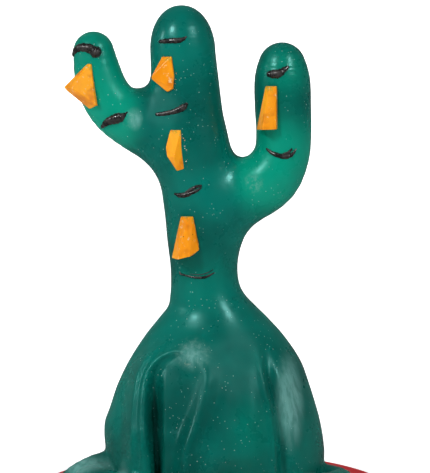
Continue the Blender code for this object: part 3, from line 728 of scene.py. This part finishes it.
faceLines = {
    # strokes as x, z and half thickness; a forked line has more than one
    "eyelid_left_arm": [
        [(-82.6, 279.6, 1.3), (-81.2, 282.3, 2.1), (-78.5, 284.0, 2.6), (-75.0, 284.1, 2.8),
         (-71.4, 283.0, 3.0), (-69.3, 281.5, 3.7)]],
    "lips_left_arm": [
        [(-65.8, 236.9, 0.9), (-63.4, 239.5, 2.0), (-60.5, 241.3, 2.7), (-56.6, 242.7, 3.2),
         (-54.0, 243.7, 2.8), (-51.9, 245.1, 1.2), (-50.4, 246.4, 0.4)]],
    "eyelid_trunk_top": [
        [(-31.0, 287.6, 1.1), (-28.1, 288.0, 1.5), (-24.0, 288.3, 1.7), (-19.9, 288.5, 1.7),
         (-17.5, 289.3, 1.2), (-15.8, 290.5, 0.6)]],
    "eyelid_trunk_middle": [
        [(-32.9, 245.2, 1.1), (-29.3, 245.6, 1.4), (-24.6, 246.5, 1.5), (-20.5, 247.9, 1.9),
         (-17.6, 249.4, 2.1), (-15.6, 251.3, 1.2)]],
    "eyelid_trunk_lower": [
        [(-22.2, 198.1, 0.8), (-19.7, 197.6, 1.5), (-16.2, 197.9, 1.6), (-12.6, 199.2, 1.2),
         (-9.1, 200.8, 0.9), (-6.8, 202.3, 0.4)],
        [(-15.9, 199.0, 1.0), (-13.2, 201.0, 1.1), (-10.0, 202.8, 1.0), (-7.0, 203.5, 0.7)]],
    "lips_trunk": [
        [(-19.7, 151.3, 0.4), (-19.3, 150.1, 0.7), (-16.0, 149.5, 0.6), (-11.2, 148.7, 0.7),
         (-5.9, 148.7, 0.8), (-2.4, 149.8, 0.7), (0.6, 151.4, 0.4)],
        [(-13.6, 150.6, 0.2), (-7.7, 150.4, 0.3), (-2.9, 151.7, 0.3), (0.0, 153.3, 0.2)]],
    "eyelid_right_arm": [
        [(33.4, 268.6, 2.2), (35.9, 268.7, 2.8), (38.8, 269.1, 2.7), (41.4, 270.9, 1.9),
         (43.8, 272.7, 1.1)]],
    "lips_right_arm": [
        [(31.7, 224.6, 0.6), (34.6, 222.4, 1.2), (38.2, 221.0, 1.5), (42.3, 220.2, 1.6),
         (45.9, 221.0, 1.3), (47.9, 223.0, 0.9), (48.9, 224.6, 0.4)],
        [(41.5, 221.3, 1.0), (44.6, 222.7, 0.9), (46.2, 224.4, 0.8)]]}


def lineBlack():
    paint = Paint("line_black")
    drag = paint.noise(260.0, 4.0, 0.6)
    base = paint.blend(paint.between(drag, 0.4, 0.7), rgb(0.010, 0.010, 0.011), rgb(0.045, 0.040, 0.038))
    dust = paint.grit(600.0, 0.16, 0.10, 180.0, 0.60, 0.66)
    paint.use(Base_Color=paint.blend(dust, base, rgb(0.4, 0.36, 0.33)),
              Roughness=paint.between(drag, 0.3, 0.7, 0.16, 0.42))
    return paint.bumped(drag + dust * 0.5, 0.45, 0.0004)


def beadMesh(stroke, sides=16, sink=0.3, capSteps=(80, 60, 40, 20)):
    # a rounded bead of poured paint along the casting, a little lumpy
    rows = splined(stroke, 6)
    points, normals = frontPoints(rows[:, 0], rows[:, 1])
    along = np.gradient(points, axis=0)
    along /= np.linalg.norm(along, axis=1, keepdims=True)
    side = np.cross(normals, along)
    side /= np.linalg.norm(side, axis=1, keepdims=True)
    lumps = 1 + 0.06 * np.sin(rows[:, 0] * 2.1 + rows[:, 1] * 1.3) + 0.04 * np.sin(rows[:, 0] * 4.7)
    radii = np.maximum(rows[:, 2], 0.15) * lumps
    turns = np.arange(sides) * math.tau / sides
    rings = []

    def ring(i, shift, share):
        centre = points[i] - normals[i] * radii[i] * sink + along[i] * shift * radii[i]
        rings.append(centre + radii[i] * share * (np.outer(np.cos(turns), normals[i])
                                                  + np.outer(np.sin(turns), side[i])))

    for angle in capSteps:
        ring(0, -math.sin(math.radians(angle)), math.cos(math.radians(angle)))
    for i in range(len(rows)):
        ring(i, 0, 1)
    for angle in capSteps[::-1]:
        ring(-1, math.sin(math.radians(angle)), math.cos(math.radians(angle)))
    return lofted(rings)


def makeFaceLines(finish):
    for name, strokes in faceLines.items():
        mesh = joinedMesh([beadMesh(stroke) for stroke in strokes], name)
        addPiece(name + "_bead", mesh, finish, (name,))


crumbs = {
    # lines of glue crumbs beside the noses: x and z
    "trails": [
        [(-22.4, 271.3), (-21.7, 267.8), (-22.1, 263.1), (-22.4, 260.2)],
        [(-18.0, 233.5), (-16.4, 226.8), (-15.6, 220.3), (-15.4, 214.6)]],
    "count": 16, "size": 0.40, "spread": 0.65, "seed": 7}


def crumbTree():
    tree = Tree("crumb_trail", count=1, size=1.0, spread=1.0, seed=0, finish=None)
    size, spread, seed = tree.value("size"), tree.value("spread"), tree.value("seed")
    line = tree.add("GeometryNodeMeshToCurve", {}, {0: tree.value("Shape")})
    dots = tree.add("GeometryNodeCurveToPoints", {}, {0: line, "Count": tree.value("count")})
    wander = tree.scatter((-1.0, -0.25, -1.0), (1.0, 0.25, 1.0), seed)
    offset = tree.add("ShaderNodeVectorMath", {"operation": "SCALE"}, {0: wander, "Scale": spread})
    dots = tree.add("GeometryNodeSetPosition", {}, {0: dots, "Offset": offset})
    grain = tree.add("GeometryNodeMeshIcoSphere", {}, {"Radius": size, "Subdivisions": 2})
    shape = tree.scatter((0.25, 0.25, 0.25), (1.2, 0.8, 1.2), seed + 1)
    tree.finish(tree.add("GeometryNodeInstanceOnPoints", {}, {0: dots, "Instance": grain, "Scale": shape}))
    return tree


def makeCrumbs():
    paint = Paint("glue_crumbs", Roughness=0.6)
    pick = paint.noise(420.0, 1.0)
    stops = [(0.40, rgb(0.01, 0.05, 0.04)), (0.50, rgb(0.55, 0.22, 0.06)), (0.58, rgb(0.72, 0.74, 0.62))]
    shade = paint.add("ShaderNodeValToRGB", {"stops": stops}, {0: pick})
    paint.use(Base_Color=shade)
    paint.bumped(pick, 0.2, 0.0003)
    points, edges = [], []
    for trail in crumbs["trails"]:
        dense = splined(trail, 5)
        start = len(points)
        points += list(frontPoints(dense[:, 0], dense[:, 1])[0])
        edges += [(k, k + 1) for k in range(start, len(points) - 1)]
    base = bpy.data.meshes.new("trails")
    base.from_pydata([tuple(p) for p in points], edges, [])
    mesh = crumbTree().mesh("nose_crumbs", base, count=crumbs["count"], size=crumbs["size"],
                            spread=crumbs["spread"], seed=crumbs["seed"], finish=paint.material)
    addPiece("nose_crumbs", mesh, paint.material)


makeCasting()
makeNoses(noseOrange())
makeFaceLines(lineBlack())
makeCrumbs()

base = {"sides": 192, "edge": 2.5, "edgeSteps": 7, "under": 0.8, "screwHole": 1.8, "screwHead": 3.3,
        "headHeight": 2.2}
screwNodes = [f"base_screw_{k}" for k in range(1, 5)]


def glossRed():
    paint = Paint("gloss_red", Specular_IOR_Level=0.12)
    cloud = paint.noise(12.0, 3.0)
    colour = paint.blend(paint.between(cloud, 0.35, 0.65), rgb(0.62, 0.010, 0.018), rgb(0.76, 0.016, 0.026))
    dust = paint.grit(150.0, 0.06, 0.035, 50.0, 0.58, 0.64)
    swirl = paint.noise(9.0, 3.0, 0.6, paint.mapped(turn=(0, 0, 0.4), size=(1.0, 22.0, 1.0)))
    paint.use(Base_Color=paint.blend(dust, colour, rgb(0.8, 0.55, 0.5)),
              Roughness=paint.between(swirl, 0.35, 0.7, 0.30, 0.45) + dust * 0.3)
    return paint.bumped(paint.noise(160.0, 2.0) * 0.6 + swirl * 0.2, 0.10, 0.0005)


def cutBy(mesh, cutter):
    body = bpy.data.objects.new("body", mesh)
    tool = bpy.data.objects.new("tool", cutter)
    for item in (body, tool):
        scene.collection.objects.link(item)
    cut = body.modifiers.new("cut", "BOOLEAN")
    cut.operation = "DIFFERENCE"
    cut.solver = "EXACT"
    cut.object = tool
    result = evaluated(body)
    for item in (body, tool):
        bpy.data.objects.remove(item)
    return result


def makeBase():
    low, high = (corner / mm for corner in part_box("base_disc"))
    radius, edge = high.x, base["edge"]
    turns = np.linspace(math.pi / 2, 0, base["edgeSteps"])
    rim = [(radius - edge + edge * math.sin(a), high.z - edge + edge * math.cos(a)) for a in turns]
    profile = [(0.5, low.z), (radius - base["under"], low.z), (radius, low.z + base["under"]), *rim,
               (radius * 0.7, high.z), (radius * 0.35, high.z), (0.5, high.z)]
    holes = []
    for name in screwNodes:
        foot, tip = (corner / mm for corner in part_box(name))
        hole = lathed([(base["screwHead"], low.z - 1), (base["screwHead"], foot.z + 0.9),
                       (base["screwHole"], foot.z + base["headHeight"]),
                       (base["screwHole"], high.z + 1)], 24)
        hole.transform(Matrix.Translation(((foot.x + tip.x) / 2 * mm, (foot.y + tip.y) / 2 * mm, 0)))
        holes.append(hole)
    mesh = cutBy(lathed(profile, base["sides"]), joinedMesh(holes))
    addPiece("red_disc", mesh, glossRed(), ("base_disc",), sharpAngle=40)


def makeFelt():
    low, high = (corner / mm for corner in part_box("felt_pad"))
    paint = Paint("pressed_felt", Roughness=0.95)
    fibre = paint.noise(900.0, 4.0, 0.7)
    paint.use(Base_Color=paint.blend(paint.between(fibre, 0.35, 0.65), rgb(0.014, 0.022, 0.018),
                                     rgb(0.060, 0.085, 0.070)))
    paint.bumped(fibre + paint.noise(240.0, 3.0) * 0.5, 0.6, 0.0006)
    radius = high.x
    mesh = lathed([(0.5, low.z), (radius - 0.25, low.z), (radius, low.z + 0.3), (radius, high.z - 0.3),
                   (radius - 0.25, high.z), (0.5, high.z)], base["sides"])
    addPiece("felt_disc", mesh, paint.material, ("felt_pad",), sharpAngle=40)


def metalPaint(name, colour, pale):
    paint = Paint(name, Metallic=1.0)
    drag = paint.noise(300.0, 3.0, 0.6, paint.mapped(size=(1.0, 1.0, 6.0)))
    paint.use(Base_Color=paint.blend(drag, colour, pale), Roughness=paint.between(drag, 0.3, 0.7, 0.22, 0.42))
    return paint.bumped(drag, 0.1, 0.0002)


def screwTree():
    tree = Tree("countersunk_screw", headRadius=1.0, headHeight=1.0, shankRadius=1.0, length=1.0, pitch=1.0,
                circle=1.0, count=4, finish=None)
    shank, length, headHeight = tree.value("shankRadius"), tree.value("length"), tree.value("headHeight")
    head = tree.add("GeometryNodeMeshCone", {}, {
        "Vertices": 32, "Radius Top": shank, "Radius Bottom": tree.value("headRadius"), "Depth": headHeight})
    slot = tree.across(tree.value("headRadius") * 1.5, 0.8, 1.6)
    slot = tree.add("GeometryNodeMeshCube", {}, {"Size": slot})
    head = tree.add("GeometryNodeMeshBoolean", {"operation": "DIFFERENCE"}, {"Mesh 1": head, "Mesh 2": slot})
    core = tree.add("GeometryNodeMeshCylinder", {}, {"Vertices": 24, "Radius": shank * 0.8, "Depth": length})
    core = tree.raised(core, headHeight + length * 0.5 - 0.2)
    turns = length * 0.8
    helix = tree.add("GeometryNodeCurveSpiral", {}, {
        "Resolution": 20, "Rotations": turns.maths("DIVIDE", turns, tree.value("pitch")),
        "Start Radius": shank * 0.8, "End Radius": shank * 0.8, "Height": turns})
    thread = tree.add("GeometryNodeCurvePrimitiveCircle", {}, {"Resolution": 4, "Radius": shank * 0.18})
    thread = tree.add("GeometryNodeCurveToMesh", {}, {0: helix, 1: thread, "Fill Caps": True})
    thread = tree.raised(thread, headHeight + length * 0.15)
    whole = tree.add("GeometryNodeJoinGeometry", {}, {0: [head, core, thread]})
    ring = tree.add("GeometryNodeMeshCircle", {}, {
        "Vertices": tree.value("count"), "Radius": tree.value("circle")})
    tree.finish(tree.add("GeometryNodeInstanceOnPoints", {}, {0: ring, "Instance": whole}))
    return tree


def makeScrews():
    finish = metalPaint("zinc_steel", rgb(0.50, 0.51, 0.52), rgb(0.70, 0.70, 0.68))
    foot, tip = (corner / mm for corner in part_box(screwNodes[0]))
    x, y = (foot.x + tip.x) / 2, (foot.y + tip.y) / 2
    mesh = screwTree().mesh(
        "base_screws", headRadius=(tip.x - foot.x) / 2, headHeight=base["headHeight"], shankRadius=1.5,
        length=tip.z - foot.z - base["headHeight"], pitch=1.1, circle=math.hypot(x, y), count=len(screwNodes),
        finish=finish)
    mesh.transform(Matrix.Translation((0, 0, foot.z * mm)) @ Matrix.Rotation(math.atan2(y, x), 4, "Z"))
    addPiece("base_screws", mesh, finish, screwNodes, sharpAngle=35)


makeBase()
makeFelt()
makeScrews()

rain = {
    "pinCount": 22, "pinTurn": 45.0, "pinStart": 56.0, "pinPitch": 8.1, "wire": 0.6, "pinHead": 1.3,
    "collarClear": 2.0, "grainSize": 0.94, "grainSeed": 11}
pinNodes = sorted(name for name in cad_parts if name.startswith("rain_pin"))
grainNodes = sorted(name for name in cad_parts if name.startswith("grain_column"))


def tubePlace():
    # the frame of the tube: its foot on its own axis, +Z up along it, and its outer radius
    lower, upper = (Vector(nodePoints(name).mean(0)) for name in ("tube_lower_cap", "tube_upper_cap"))
    along = (upper - lower).normalized()
    turn = Vector((0, 0, 1)).rotation_difference(along).to_matrix().to_4x4()
    local = nodePoints("rain_tube") @ np.array(turn.to_3x3())
    foot = lower + along * (local[:, 2].min() - lower.dot(along))
    radius = np.abs((nodePoints("rain_tube") - np.array(foot)) @ np.array(turn.to_3x3())[:, 1]).max()
    return Matrix.Translation(foot) @ turn, radius


tubeFrame, tubeRadius = tubePlace()


def inTube(name):
    # a node's corners in the tube's own frame
    points = np.c_[nodePoints(name), np.ones(len(nodePoints(name)))]
    return (points @ np.array(tubeFrame.inverted()).T)[:, :3]


def toWorld(mesh):
    mesh.transform(Matrix.Scale(mm, 4) @ tubeFrame @ Matrix.Scale(1 / mm, 4))
    return mesh


def pinTree():
    tree = Tree("pin_helix", count=1, pitch=1.0, start=1.0, turn=1.0, wire=1.0, head=1.0, inner=1.0,
                outer=1.0, collarMiddle=1.0, collarHalf=1.0, finish=None)
    wire, head, inner, outer = (tree.value(label) for label in ("wire", "head", "inner", "outer"))
    row = tree.column(tree.value("count"), tree.value("start"), tree.value("pitch"))
    index = tree.add("GeometryNodeInputIndex", {}, {})
    shaft = tree.add("GeometryNodeMeshCylinder", {}, {"Vertices": 12, "Radius": wire, "Depth": inner + outer})
    shaft = tree.raised(shaft, (outer - inner) * 0.5)
    cap = tree.add("GeometryNodeMeshUVSphere", {}, {"Segments": 14, "Rings": 8, "Radius": head})
    cap = tree.add("GeometryNodeTransform", {}, {
        0: cap, "Translation": tree.across(z=outer + 0.25), "Scale": (1.0, 1.0, 0.45)})
    pin = tree.add("GeometryNodeJoinGeometry", {}, {0: [shaft, cap]})
    pin = tree.add("GeometryNodeTransform", {}, {0: pin, "Rotation": (0.0, math.pi / 2, 0.0)})
    spin = tree.add("FunctionNodeEulerToRotation", {}, {0: tree.across(z=index * tree.value("turn"))})
    placed = tree.add("GeometryNodeInstanceOnPoints", {}, {0: row, "Instance": pin, "Rotation": spin})
    height = tree.add("ShaderNodeSeparateXYZ", {}, {0: tree.add("GeometryNodeInputPosition", {}, {})}, 2)
    away = height.maths("ABSOLUTE", height - tree.value("collarMiddle"))
    hidden = away.maths("LESS_THAN", away, tree.value("collarHalf"))
    tree.finish(tree.add("GeometryNodeDeleteGeometry", {"domain": "INSTANCE"}, {
        0: placed, "Selection": hidden}))
    return tree


def makePins():
    finish = metalPaint("pin_brass", rgb(0.60, 0.40, 0.13), rgb(0.82, 0.62, 0.28))
    collar = inTube("tube_collar")[:, 2]
    pin = inTube(pinNodes[0])
    mesh = pinTree().mesh(
        "rain_pins", count=rain["pinCount"], pitch=rain["pinPitch"], start=rain["pinStart"],
        turn=math.radians(rain["pinTurn"]), wire=rain["wire"], head=rain["pinHead"],
        inner=float(-pin[:, 0].min()), outer=float(tubeRadius + 0.3),
        collarMiddle=float((collar.min() + collar.max()) / 2),
        collarHalf=float((collar.max() - collar.min()) / 2 + rain["collarClear"]), finish=finish)
    addPiece("rain_pins", toWorld(mesh), finish, pinNodes, sharpAngle=50)


def grainTree():
    tree = Tree("grain_string", count=1, pitch=1.0, radius=1.0, seed=0, finish=None)
    radius, pitch, seed = tree.value("radius"), tree.value("pitch"), tree.value("seed")
    row = tree.column(tree.value("count"), pitch * 0.5, pitch)
    grain = tree.add("GeometryNodeMeshIcoSphere", {}, {"Radius": radius, "Subdivisions": 3})
    turn = tree.add("FunctionNodeEulerToRotation", {}, {0: tree.scatter((0, 0, 0), (6.28, 6.28, 6.28), seed)})
    shape = tree.scatter((0.80, 0.80, 0.92), (0.97, 0.97, 1.0), seed + 1)
    tree.finish(tree.add("GeometryNodeInstanceOnPoints", {}, {
        0: row, "Instance": grain, "Rotation": turn, "Scale": shape}))
    return tree


def makeGrains():
    paint = Paint("dry_grains")
    husk = paint.noise(420.0, 4.0, 0.6)
    paint.use(Base_Color=paint.blend(husk, rgb(0.30, 0.13, 0.04), rgb(0.74, 0.47, 0.20)),
              Roughness=paint.between(husk, 0.3, 0.7, 0.42, 0.62))
    paint.bumped(husk, 0.3, 0.0003)
    tree = grainTree()
    for number, name in enumerate(grainNodes):
        lane = inTube(name)
        low, high = lane.min(0), lane.max(0)
        radius = (high[0] - low[0]) / 2
        count = round((high[2] - low[2]) / (2 * radius))
        mesh = tree.mesh(name, count=count, pitch=float((high[2] - low[2]) / count),
                         radius=float(radius * rain["grainSize"]), seed=rain["grainSeed"] + 2 * number,
                         finish=paint.material)
        foot = Vector(((low[0] + high[0]) / 2, (low[1] + high[1]) / 2, low[2]))
        mesh.transform(Matrix.Translation(foot * mm))
        addPiece(f"grain_string_{number + 1}", toWorld(mesh), paint.material, (name,), body=name)


def plyWood():
    paint = Paint("birch_ply", Roughness=0.7)
    ply = paint.add("ShaderNodeTexWave", {"wave_type": "BANDS", "bands_direction": "Z"}, {
        "Vector": paint.place, "Scale": 90.0, "Distortion": 1.2, "Detail": 2.0}, "Fac")
    grain = paint.noise(16.0, 5.0, 0.6, paint.mapped(size=(1.0, 14.0, 1.0)))
    base = paint.blend(ply * 0.5 + grain * 0.5, rgb(0.36, 0.23, 0.12), rgb(0.70, 0.53, 0.33))
    paint.use(Base_Color=base)
    return paint.bumped(grain, 0.3, 0.0004)


def woundCard():
    paint = Paint("wound_card", Roughness=0.8)
    spiral = paint.add("ShaderNodeTexWave", {"wave_type": "BANDS", "bands_direction": "Z"}, {
        "Vector": paint.mapped(turn=(0, 0.5, 0)), "Scale": 14.0, "Distortion": 0.0}, "Fac")
    seam = paint.between(spiral, 0.10, 0.02)
    fibre = paint.noise(500.0, 5.0, 0.7)
    base = paint.blend(fibre, rgb(0.30, 0.20, 0.11), rgb(0.55, 0.40, 0.24))
    paint.use(Base_Color=paint.blend(seam * 0.6, base, rgb(0.16, 0.10, 0.05)))
    return paint.bumped(fibre * 0.4 - seam, 0.4, 0.0004)


def mouldedBlack():
    paint = Paint("moulded_black")
    spark = paint.noise(800.0, 2.0)
    paint.use(Base_Color=paint.blend(spark, rgb(0.020, 0.020, 0.022), rgb(0.060, 0.060, 0.064)),
              Roughness=paint.between(spark, 0.3, 0.7, 0.38, 0.55))
    return paint.bumped(spark, 0.2, 0.0002)


def openFoam():
    paint = Paint("open_foam", Roughness=0.95)
    pores = paint.cells(900.0)
    paint.use(Base_Color=paint.blend(paint.between(pores, 0.1, 0.5), rgb(0.03, 0.03, 0.032),
                                     rgb(0.20, 0.20, 0.21)))
    return paint.bumped(pores, 0.7, 0.0006)


def paintNodes():
    # the CAD nodes that stay as they are
    cap = mouldedBlack()
    finishes = {"base_plug": plyWood(), "rain_tube": woundCard(), "tube_lower_cap": cap,
                "tube_upper_cap": cap, "tube_collar": openFoam()}
    for name, finish in finishes.items():
        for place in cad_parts[name].material_slots:
            place.material = finish
    print("painted", len(finishes), "nodes")


makePins()
makeGrains()
paintNodes()

stage = {
    "aim": (0.0012, 0.0, 0.17072), "distance": 1.3, "elevation": 7.0, "lens": 164.90512,
    "floor": rgb(0.86, 0.86, 0.86), "worldStrength": 0.11, "glowFront": 0.35, "glowBack": 0.95,
    # azimuth, elevation, size and power of each light
    "lights": {"left_softbox": (-44, 38, (0.20, 0.20), 7.8), "right_softbox": (44, 38, (0.20, 0.20), 6.5),
               "left_strip": (-80, 20, (0.14, 0.36), 2.2)},
    "lightDistance": 1.3}


def softbox(name, azimuth, elevation, size, power, aim=(0, 0, 0.18)):
    lamp = bpy.data.lights.new(name, "AREA")
    lamp.shape = "RECTANGLE"
    lamp.size, lamp.size_y = size
    lamp.energy = power
    item = bpy.data.objects.new(name, lamp)
    a, e = math.radians(azimuth), math.radians(elevation)
    offset = Vector((math.sin(a) * math.cos(e), -math.cos(a) * math.cos(e), math.sin(e)))
    offset *= stage["lightDistance"]
    item.location = Vector(aim) + offset
    item.rotation_euler = (-offset).to_track_quat("-Z", "Y").to_euler()
    scene.collection.objects.link(item)


def addStage(name, corners, glowFront, lit=True):
    # a white sheet of the surround; one that isn't lit is only a background and lights nothing
    mesh = meshOf(corners, [(0, 1, 2, 3)], name)
    paint = Paint(name + "_paint", Roughness=0.9, Emission_Strength=1.0)
    glow = paint.between(paint.apart()[1], -0.1, 0.5, glowFront, stage["glowBack"])
    paint.use(Emission_Color=paint.blend(glow, rgb(0, 0, 0), rgb(1, 1, 1)))
    paint.use(Base_Color=paint.blend(paint.noise(3.0, 2.0), stage["floor"], rgb(0.9, 0.9, 0.9)))
    item = bpy.data.objects.new(name, mesh)
    item.data.materials.append(paint.material)
    scene.collection.objects.link(item)
    item.visible_glossy = False    # keeps the white surround out of the reflections
    item.visible_diffuse = lit
    item.visible_shadow = lit


def makeStage(size=3.0):
    floor = [(-size, -size, 0), (size, -size, 0), (size, size, 0), (-size, size, 0)]
    addStage("floor", floor, stage["glowFront"])
    for k, name in enumerate(("front_wall", "right_wall", "backdrop", "left_wall")):
        (x, y, _), (u, v, _) = floor[k], floor[(k + 1) % 4]
        lit = name == "backdrop"
        wall = [(x, y, 0), (u, v, 0), (u, v, 2 * size), (x, y, 2 * size)]
        addStage(name, wall, stage["glowFront"] if lit else stage["glowBack"], lit)
    world = bpy.data.worlds.new("studio")
    scene.world = world
    world.use_nodes = True
    world.node_tree.nodes["Background"].inputs["Color"].default_value = rgb(1, 1, 1)
    world.node_tree.nodes["Background"].inputs["Strength"].default_value = stage["worldStrength"]
    for name, (azimuth, elevation, area, power) in stage["lights"].items():
        softbox(name, azimuth, elevation, area, power)


def makeCamera():
    camera = bpy.data.cameras.new("camera")
    camera.sensor_fit = "VERTICAL"
    camera.sensor_height = 36.0
    camera.lens = stage["lens"]
    item = bpy.data.objects.new("camera", camera)
    e = math.radians(stage["elevation"])
    offset = Vector((0, -math.cos(e), math.sin(e))) * stage["distance"]
    item.location = Vector(stage["aim"]) + offset
    item.rotation_euler = (-offset).to_track_quat("-Z", "Y").to_euler()
    scene.collection.objects.link(item)
    scene.camera = item


makeStage()
makeCamera()
print("stage and camera ready")
